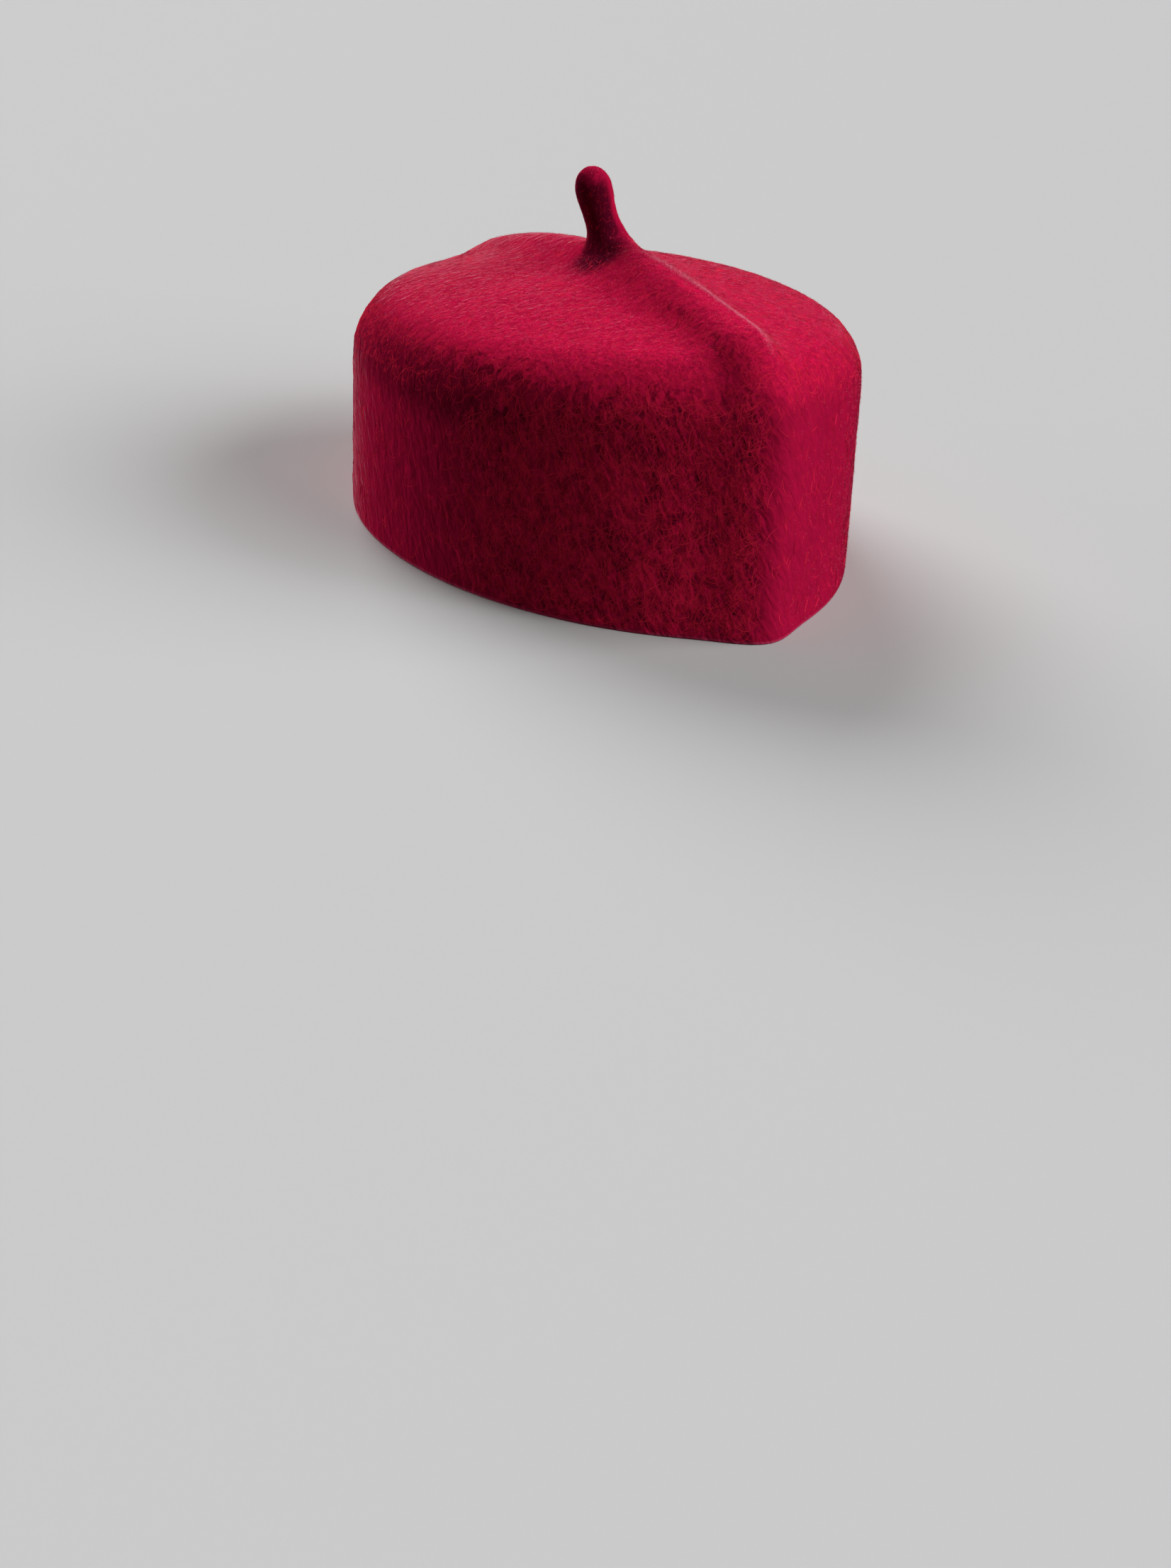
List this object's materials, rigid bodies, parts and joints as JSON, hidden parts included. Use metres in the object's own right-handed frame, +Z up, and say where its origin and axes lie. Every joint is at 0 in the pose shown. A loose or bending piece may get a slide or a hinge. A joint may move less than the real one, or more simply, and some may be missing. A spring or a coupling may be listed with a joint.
{
  "type": "igbo cap",
  "caption": "Seamless Igbo cap of red wool felt, worn on the head: upright wall, domed crown pinched into a fold along its middle, and a short stalk on top.",
  "frame": {"origin": "on the surface that the rim rests on, below the middle of the cap's length and width", "axes": "+Z up towards the stalk, +Y towards the back of the head, +X towards the wearer's left"},
  "size_m": [0.1646, 0.2184, 0.1252],
  "materials": {
    "wool_felt": "matte fulled wool felt, crimson, with a short raised nap"
  },
  "bodies": {
    "root": {"felt_cap": "wool_felt"}
  },
  "joints": []
}
